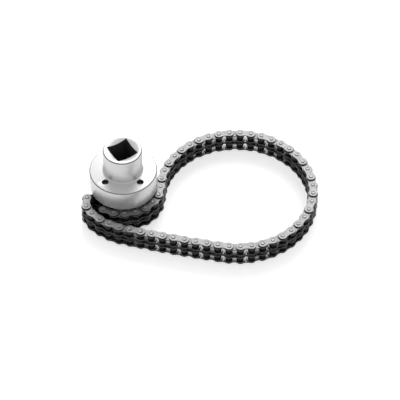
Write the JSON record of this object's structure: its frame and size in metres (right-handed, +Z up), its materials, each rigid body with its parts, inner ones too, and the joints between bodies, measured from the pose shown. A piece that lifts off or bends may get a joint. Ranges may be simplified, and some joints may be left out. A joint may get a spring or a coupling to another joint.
{
  "type": "chain oil filter wrench",
  "caption": "Chain wrench for oil filters: a turned steel head with a square drive socket holds an endless two-strand roller chain that loops round the filter.",
  "frame": {"origin": "on the drive axis, in the plane of the head's base", "axes": "+Z up along the drive axis towards the square socket; +X from the head towards the chain loop"},
  "size_m": [0.1353, 0.0933, 0.0446],
  "materials": {
    "head_steel": "satin turned steel",
    "dowel_steel": "ground steel",
    "outer_link_steel": "stamped chain steel",
    "inner_link_steel": "oiled dark chain steel"
  },
  "bodies": {
    "head": {"head": "head_steel", "anchor_dowels": "dowel_steel", "anchor_inner_links": "inner_link_steel", "anchor_outer_links": "outer_link_steel", "drum_outer_link_1": "outer_link_steel", "drum_inner_link_2": "inner_link_steel", "drum_outer_link_3": "outer_link_steel", "drum_inner_link_4": "inner_link_steel", "drum_outer_link_5": "outer_link_steel", "drum_inner_link_6": "inner_link_steel", "drum_outer_link_7": "outer_link_steel", "return_inner_link_1": "inner_link_steel", "return_outer_link_2": "outer_link_steel"},
    "loop_01": {"loop_inner_link_01": "inner_link_steel"},
    "loop_02": {"loop_outer_link_02": "outer_link_steel"},
    "loop_03": {"loop_inner_link_03": "inner_link_steel"},
    "loop_04": {"loop_outer_link_04": "outer_link_steel"},
    "loop_05": {"loop_inner_link_05": "inner_link_steel"},
    "loop_06": {"loop_outer_link_06": "outer_link_steel"},
    "loop_07": {"loop_inner_link_07": "inner_link_steel"},
    "loop_08": {"loop_outer_link_08": "outer_link_steel"},
    "loop_09": {"loop_inner_link_09": "inner_link_steel"},
    "loop_10": {"loop_outer_link_10": "outer_link_steel"},
    "loop_11": {"loop_inner_link_11": "inner_link_steel"},
    "loop_12": {"loop_outer_link_12": "outer_link_steel"},
    "loop_13": {"loop_inner_link_13": "inner_link_steel"},
    "loop_14": {"loop_outer_link_14": "outer_link_steel"},
    "loop_15": {"loop_inner_link_15": "inner_link_steel"},
    "loop_16": {"loop_outer_link_16": "outer_link_steel"},
    "loop_17": {"loop_inner_link_17": "inner_link_steel"},
    "loop_18": {"loop_outer_link_18": "outer_link_steel"},
    "loop_19": {"loop_inner_link_19": "inner_link_steel"},
    "loop_20": {"loop_outer_link_20": "outer_link_steel"},
    "loop_21": {"loop_inner_link_21": "inner_link_steel"},
    "loop_22": {"loop_outer_link_22": "outer_link_steel"},
    "loop_23": {"loop_inner_link_23": "inner_link_steel"},
    "loop_24": {"loop_outer_link_24": "outer_link_steel"},
    "loop_25": {"loop_inner_link_25": "inner_link_steel"},
    "loop_26": {"loop_outer_link_26": "outer_link_steel"},
    "loop_27": {"loop_inner_link_27": "inner_link_steel"},
    "loop_28": {"loop_outer_link_28": "outer_link_steel"},
    "loop_29": {"loop_inner_link_29": "inner_link_steel"},
    "loop_30": {"loop_outer_link_30": "outer_link_steel"},
    "loop_31": {"loop_inner_link_31": "inner_link_steel"},
    "loop_32": {"loop_outer_link_32": "outer_link_steel"},
    "loop_33": {"loop_inner_link_33": "inner_link_steel"},
    "loop_34": {"loop_outer_link_34": "outer_link_steel"},
    "loop_35": {"loop_inner_link_35": "inner_link_steel"},
    "loop_36": {"loop_outer_link_36": "outer_link_steel"},
    "loop_37": {"loop_inner_link_37": "inner_link_steel"},
    "loop_38": {"loop_outer_link_38": "outer_link_steel"},
    "loop_39": {"loop_inner_link_39": "inner_link_steel"},
    "loop_40": {"loop_outer_link_40": "outer_link_steel"},
    "loop_41": {"loop_inner_link_41": "inner_link_steel"},
    "loop_42": {"loop_outer_link_42": "outer_link_steel"},
    "loop_43": {"loop_inner_link_43": "inner_link_steel"},
    "loop_44": {"loop_outer_link_44": "outer_link_steel"},
    "loop_45": {"loop_inner_link_45": "inner_link_steel"},
    "loop_46": {"loop_outer_link_46": "outer_link_steel"}
  },
  "joints": [
    {"name": "loop_joint_01", "type": "hinge", "parent": "head", "child": "loop_01", "pos_m": [0.0211, -0.00031, 0.008], "axis": [0, 0, 1], "range_deg": [-0.876, 0.05]},
    {"name": "loop_joint_02", "type": "hinge", "parent": "loop_01", "child": "loop_02", "pos_m": [0.02176, 0.00601, 0.008], "axis": [0, 0, 1], "range_deg": [-1.08, 0.05]},
    {"name": "loop_joint_03", "type": "hinge", "parent": "loop_02", "child": "loop_03", "pos_m": [0.02333, 0.01216, 0.008], "axis": [0, 0, 1], "range_deg": [-1.22, 0.05]},
    {"name": "loop_joint_04", "type": "hinge", "parent": "loop_03", "child": "loop_04", "pos_m": [0.02578, 0.01802, 0.008], "axis": [0, 0, 1], "range_deg": [-1.4, 0.05]},
    {"name": "loop_joint_05", "type": "hinge", "parent": "loop_04", "child": "loop_05", "pos_m": [0.02904, 0.02347, 0.008], "axis": [0, 0, 1], "range_deg": [-1.75, 0.05]},
    {"name": "loop_joint_06", "type": "hinge", "parent": "loop_05", "child": "loop_06", "pos_m": [0.03306, 0.02838, 0.008], "axis": [0, 0, 1], "range_deg": [-2.21, 0.05]},
    {"name": "loop_joint_07", "type": "hinge", "parent": "loop_06", "child": "loop_07", "pos_m": [0.03775, 0.03266, 0.008], "axis": [0, 0, 1], "range_deg": [-2.44, 0.05]},
    {"name": "loop_joint_08", "type": "hinge", "parent": "loop_07", "child": "loop_08", "pos_m": [0.04301, 0.03622, 0.008], "axis": [0, 0, 1], "range_deg": [-2.52, 0.05]},
    {"name": "loop_joint_09", "type": "hinge", "parent": "loop_08", "child": "loop_09", "pos_m": [0.04873, 0.03898, 0.008], "axis": [0, 0, 1], "range_deg": [-2.52, 0.05]},
    {"name": "loop_joint_10", "type": "hinge", "parent": "loop_09", "child": "loop_10", "pos_m": [0.05479, 0.04088, 0.008], "axis": [0, 0, 1], "range_deg": [-2.48, 0.05]},
    {"name": "loop_joint_11", "type": "hinge", "parent": "loop_10", "child": "loop_11", "pos_m": [0.06106, 0.04189, 0.008], "axis": [0, 0, 1], "range_deg": [-2.39, 0.05]},
    {"name": "loop_joint_12", "type": "hinge", "parent": "loop_11", "child": "loop_12", "pos_m": [0.06741, 0.04198, 0.008], "axis": [0, 0, 1], "range_deg": [-2.14, 0.05]},
    {"name": "loop_joint_13", "type": "hinge", "parent": "loop_12", "child": "loop_13", "pos_m": [0.0737, 0.04115, 0.008], "axis": [0, 0, 1], "range_deg": [-1.61, 0.05]},
    {"name": "loop_joint_14", "type": "hinge", "parent": "loop_13", "child": "loop_14", "pos_m": [0.07981, 0.03941, 0.008], "axis": [0, 0, 1], "range_deg": [-0.876, 0.05]},
    {"name": "loop_joint_15", "type": "hinge", "parent": "loop_14", "child": "loop_15", "pos_m": [0.08561, 0.03681, 0.008], "axis": [0, 0, 1], "range_deg": [-0.05, 0.598]},
    {"name": "loop_joint_16", "type": "hinge", "parent": "loop_15", "child": "loop_16", "pos_m": [0.09096, 0.0334, 0.008], "axis": [0, 0, 1], "range_deg": [-0.05, 1.91]},
    {"name": "loop_joint_17", "type": "hinge", "parent": "loop_16", "child": "loop_17", "pos_m": [0.09577, 0.02926, 0.008], "axis": [0, 0, 1], "range_deg": [-0.05, 2.96]},
    {"name": "loop_joint_18", "type": "hinge", "parent": "loop_17", "child": "loop_18", "pos_m": [0.09993, 0.02445, 0.008], "axis": [0, 0, 1], "range_deg": [0, 3.38]},
    {"name": "loop_joint_19", "type": "hinge", "parent": "loop_18", "child": "loop_19", "pos_m": [0.10334, 0.0191, 0.008], "axis": [0, 0, 1], "range_deg": [-0.05, 3.48]},
    {"name": "loop_joint_20", "type": "hinge", "parent": "loop_19", "child": "loop_20", "pos_m": [0.10595, 0.01331, 0.008], "axis": [0, 0, 1], "range_deg": [-0.05, 3.09]},
    {"name": "loop_joint_21", "type": "hinge", "parent": "loop_20", "child": "loop_21", "pos_m": [0.10769, 0.00721, 0.008], "axis": [0, 0, 1], "range_deg": [-0.05, 2.54]},
    {"name": "loop_joint_22", "type": "hinge", "parent": "loop_21", "child": "loop_22", "pos_m": [0.10853, 0.00091, 0.008], "axis": [0, 0, 1], "range_deg": [-0.05, 2.01]},
    {"name": "loop_joint_23", "type": "hinge", "parent": "loop_22", "child": "loop_23", "pos_m": [0.10845, -0.00544, 0.008], "axis": [0, 0, 1], "range_deg": [-0.05, 1.6]},
    {"name": "loop_joint_24", "type": "hinge", "parent": "loop_23", "child": "loop_24", "pos_m": [0.10745, -0.01171, 0.008], "axis": [0, 0, 1], "range_deg": [-0.05, 1.3]},
    {"name": "loop_joint_25", "type": "hinge", "parent": "loop_24", "child": "loop_25", "pos_m": [0.10556, -0.01777, 0.008], "axis": [0, 0, 1], "range_deg": [-0.05, 1.1]},
    {"name": "loop_joint_26", "type": "hinge", "parent": "loop_25", "child": "loop_26", "pos_m": [0.10281, -0.02349, 0.008], "axis": [0, 0, 1], "range_deg": [-0.05, 0.95]},
    {"name": "loop_joint_27", "type": "hinge", "parent": "loop_26", "child": "loop_27", "pos_m": [0.09926, -0.02876, 0.008], "axis": [0, 0, 1], "range_deg": [-0.05, 0.807]},
    {"name": "loop_joint_28", "type": "hinge", "parent": "loop_27", "child": "loop_28", "pos_m": [0.09498, -0.03345, 0.008], "axis": [0, 0, 1], "range_deg": [-0.05, 0.394]},
    {"name": "loop_joint_29", "type": "hinge", "parent": "loop_28", "child": "loop_29", "pos_m": [0.09007, -0.03748, 0.008], "axis": [0, 0, 1], "range_deg": [-0.05, 0.394]},
    {"name": "loop_joint_30", "type": "hinge", "parent": "loop_29", "child": "loop_30", "pos_m": [0.08463, -0.04075, 0.008], "axis": [0, 0, 1], "range_deg": [-0.876, 0.05]},
    {"name": "loop_joint_31", "type": "hinge", "parent": "loop_30", "child": "loop_31", "pos_m": [0.07877, -0.04321, 0.008], "axis": [0, 0, 1], "range_deg": [-0.872, 0.05]},
    {"name": "loop_joint_32", "type": "hinge", "parent": "loop_31", "child": "loop_32", "pos_m": [0.07262, -0.04478, 0.008], "axis": [0, 0, 1], "range_deg": [-1.51, 0.05]},
    {"name": "loop_joint_33", "type": "hinge", "parent": "loop_32", "child": "loop_33", "pos_m": [0.06631, -0.04546, 0.008], "axis": [0, 0, 1], "range_deg": [-2.04, 0.05]},
    {"name": "loop_joint_34", "type": "hinge", "parent": "loop_33", "child": "loop_34", "pos_m": [0.05996, -0.04521, 0.008], "axis": [0, 0, 1], "range_deg": [-2.29, 0.05]},
    {"name": "loop_joint_35", "type": "hinge", "parent": "loop_34", "child": "loop_35", "pos_m": [0.05372, -0.04404, 0.008], "axis": [0, 0, 1], "range_deg": [-2.51, 0.05]},
    {"name": "loop_joint_36", "type": "hinge", "parent": "loop_35", "child": "loop_36", "pos_m": [0.04749, -0.04282, 0.008], "axis": [0, 0, 1], "range_deg": [-2.59, 0.05]},
    {"name": "loop_joint_37", "type": "hinge", "parent": "loop_36", "child": "loop_37", "pos_m": [0.04127, -0.04155, 0.008], "axis": [0, 0, 1], "range_deg": [-2.54, 0.05]},
    {"name": "loop_joint_38", "type": "hinge", "parent": "loop_37", "child": "loop_38", "pos_m": [0.03506, -0.04021, 0.008], "axis": [0, 0, 1], "range_deg": [-2.42, 0.05]},
    {"name": "loop_joint_39", "type": "hinge", "parent": "loop_38", "child": "loop_39", "pos_m": [0.02886, -0.03882, 0.008], "axis": [0, 0, 1], "range_deg": [-2.27, 0.05]},
    {"name": "loop_joint_40", "type": "hinge", "parent": "loop_39", "child": "loop_40", "pos_m": [0.02268, -0.03737, 0.008], "axis": [0, 0, 1], "range_deg": [-2.1, 0.05]},
    {"name": "loop_joint_41", "type": "hinge", "parent": "loop_40", "child": "loop_41", "pos_m": [0.01651, -0.03587, 0.008], "axis": [0, 0, 1], "range_deg": [-1.55, 0.05]},
    {"name": "loop_joint_42", "type": "hinge", "parent": "loop_41", "child": "loop_42", "pos_m": [0.01036, -0.03431, 0.008], "axis": [0, 0, 1], "range_deg": [-1.05, 0.05]},
    {"name": "loop_joint_43", "type": "hinge", "parent": "loop_42", "child": "loop_43", "pos_m": [0.00422, -0.03269, 0.008], "axis": [0, 0, 1], "range_deg": [-0.876, 0.05]},
    {"name": "loop_joint_44", "type": "hinge", "parent": "loop_43", "child": "loop_44", "pos_m": [-0.00191, -0.03102, 0.008], "axis": [0, 0, 1], "range_deg": [-0.05, 0.394]},
    {"name": "loop_joint_45", "type": "hinge", "parent": "loop_44", "child": "loop_45", "pos_m": [-0.0077, -0.02841, 0.008], "axis": [0, 0, 1], "range_deg": [-0.05, 0.394]},
    {"name": "loop_joint_46", "type": "hinge", "parent": "loop_45", "child": "loop_46", "pos_m": [-0.01301, -0.02492, 0.008], "axis": [0, 0, 1], "range_deg": [-0.05, 0.394]}
  ],
  "couplings": [
    {"joint": "loop_joint_01", "follows": "loop_joint_18", "ratio": -0.23955},
    {"joint": "loop_joint_02", "follows": "loop_joint_18", "ratio": -0.30022},
    {"joint": "loop_joint_03", "follows": "loop_joint_18", "ratio": -0.33899},
    {"joint": "loop_joint_04", "follows": "loop_joint_18", "ratio": -0.39154},
    {"joint": "loop_joint_05", "follows": "loop_joint_18", "ratio": -0.4918},
    {"joint": "loop_joint_06", "follows": "loop_joint_18", "ratio": -0.62536},
    {"joint": "loop_joint_07", "follows": "loop_joint_18", "ratio": -0.69473},
    {"joint": "loop_joint_08", "follows": "loop_joint_18", "ratio": -0.71585},
    {"joint": "loop_joint_09", "follows": "loop_joint_18", "ratio": -0.71489},
    {"joint": "loop_joint_10", "follows": "loop_joint_18", "ratio": -0.70471},
    {"joint": "loop_joint_11", "follows": "loop_joint_18", "ratio": -0.67761},
    {"joint": "loop_joint_12", "follows": "loop_joint_18", "ratio": -0.60639},
    {"joint": "loop_joint_13", "follows": "loop_joint_18", "ratio": -0.45404},
    {"joint": "loop_joint_14", "follows": "loop_joint_18", "ratio": -0.23962},
    {"joint": "loop_joint_15", "follows": "loop_joint_18", "ratio": 0.15907},
    {"joint": "loop_joint_16", "follows": "loop_joint_18", "ratio": 0.53872},
    {"joint": "loop_joint_17", "follows": "loop_joint_18", "ratio": 0.84433},
    {"joint": "loop_joint_19", "follows": "loop_joint_18", "ratio": 0.99594},
    {"joint": "loop_joint_20", "follows": "loop_joint_18", "ratio": 0.88101},
    {"joint": "loop_joint_21", "follows": "loop_joint_18", "ratio": 0.72202},
    {"joint": "loop_joint_22", "follows": "loop_joint_18", "ratio": 0.56969},
    {"joint": "loop_joint_23", "follows": "loop_joint_18", "ratio": 0.44858},
    {"joint": "loop_joint_24", "follows": "loop_joint_18", "ratio": 0.36274},
    {"joint": "loop_joint_25", "follows": "loop_joint_18", "ratio": 0.30479},
    {"joint": "loop_joint_26", "follows": "loop_joint_18", "ratio": 0.26211},
    {"joint": "loop_joint_27", "follows": "loop_joint_18", "ratio": 0.21966},
    {"joint": "loop_joint_28", "follows": "loop_joint_18", "ratio": 0.099884},
    {"joint": "loop_joint_29", "follows": "loop_joint_18", "ratio": 0.099889},
    {"joint": "loop_joint_30", "follows": "loop_joint_18", "ratio": -0.23956},
    {"joint": "loop_joint_31", "follows": "loop_joint_18", "ratio": -0.23842},
    {"joint": "loop_joint_32", "follows": "loop_joint_18", "ratio": -0.42478},
    {"joint": "loop_joint_33", "follows": "loop_joint_18", "ratio": -0.57701},
    {"joint": "loop_joint_34", "follows": "loop_joint_18", "ratio": -0.64955},
    {"joint": "loop_joint_35", "follows": "loop_joint_18", "ratio": -0.71403},
    {"joint": "loop_joint_36", "follows": "loop_joint_18", "ratio": -0.736},
    {"joint": "loop_joint_37", "follows": "loop_joint_18", "ratio": -0.72281},
    {"joint": "loop_joint_38", "follows": "loop_joint_18", "ratio": -0.68765},
    {"joint": "loop_joint_39", "follows": "loop_joint_18", "ratio": -0.6437},
    {"joint": "loop_joint_40", "follows": "loop_joint_18", "ratio": -0.59403},
    {"joint": "loop_joint_41", "follows": "loop_joint_18", "ratio": -0.4361},
    {"joint": "loop_joint_42", "follows": "loop_joint_18", "ratio": -0.29149},
    {"joint": "loop_joint_43", "follows": "loop_joint_18", "ratio": -0.23958},
    {"joint": "loop_joint_44", "follows": "loop_joint_18", "ratio": 0.099861},
    {"joint": "loop_joint_45", "follows": "loop_joint_18", "ratio": 0.099858},
    {"joint": "loop_joint_46", "follows": "loop_joint_18", "ratio": 0.099849}
  ]
}
